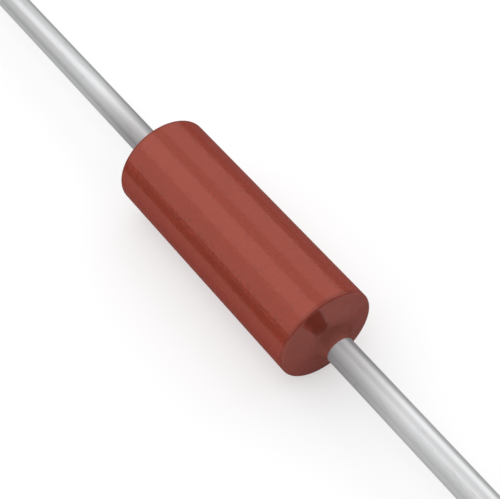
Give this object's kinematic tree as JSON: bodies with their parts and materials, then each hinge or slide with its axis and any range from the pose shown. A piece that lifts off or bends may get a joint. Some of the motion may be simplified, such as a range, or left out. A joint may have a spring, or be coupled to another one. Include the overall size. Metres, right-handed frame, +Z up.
{
  "type": "metal film resistor",
  "caption": "Axial metal film resistor: a glossy red-brown moulded cylinder with a straight tinned wire lead leaving each end along its axis.",
  "frame": {"origin": "middle of the moulded body, on the lead axis", "axes": "+X along the leads towards the right lead, +Y and +Z square to them, +Z up"},
  "size_m": [0.0822, 0.0022, 0.0022],
  "materials": {
    "jacket": "moulded epoxy, glossy with a faint orange peel",
    "lacquer": "soft cream lacquer",
    "ceramic": "fired white alumina rod",
    "film": "dark nickel-chromium film",
    "cap": "tin-plated pressed steel",
    "lead": "copper wire with a bright drawn tin plate"
  },
  "bodies": {
    "root": {"moulded_jacket": "jacket", "lacquer_coat": "lacquer", "ceramic_core": "ceramic", "resistive_film": "film", "left_end_cap": "cap", "right_end_cap": "cap", "left_lead": "lead", "right_lead": "lead"}
  },
  "joints": []
}
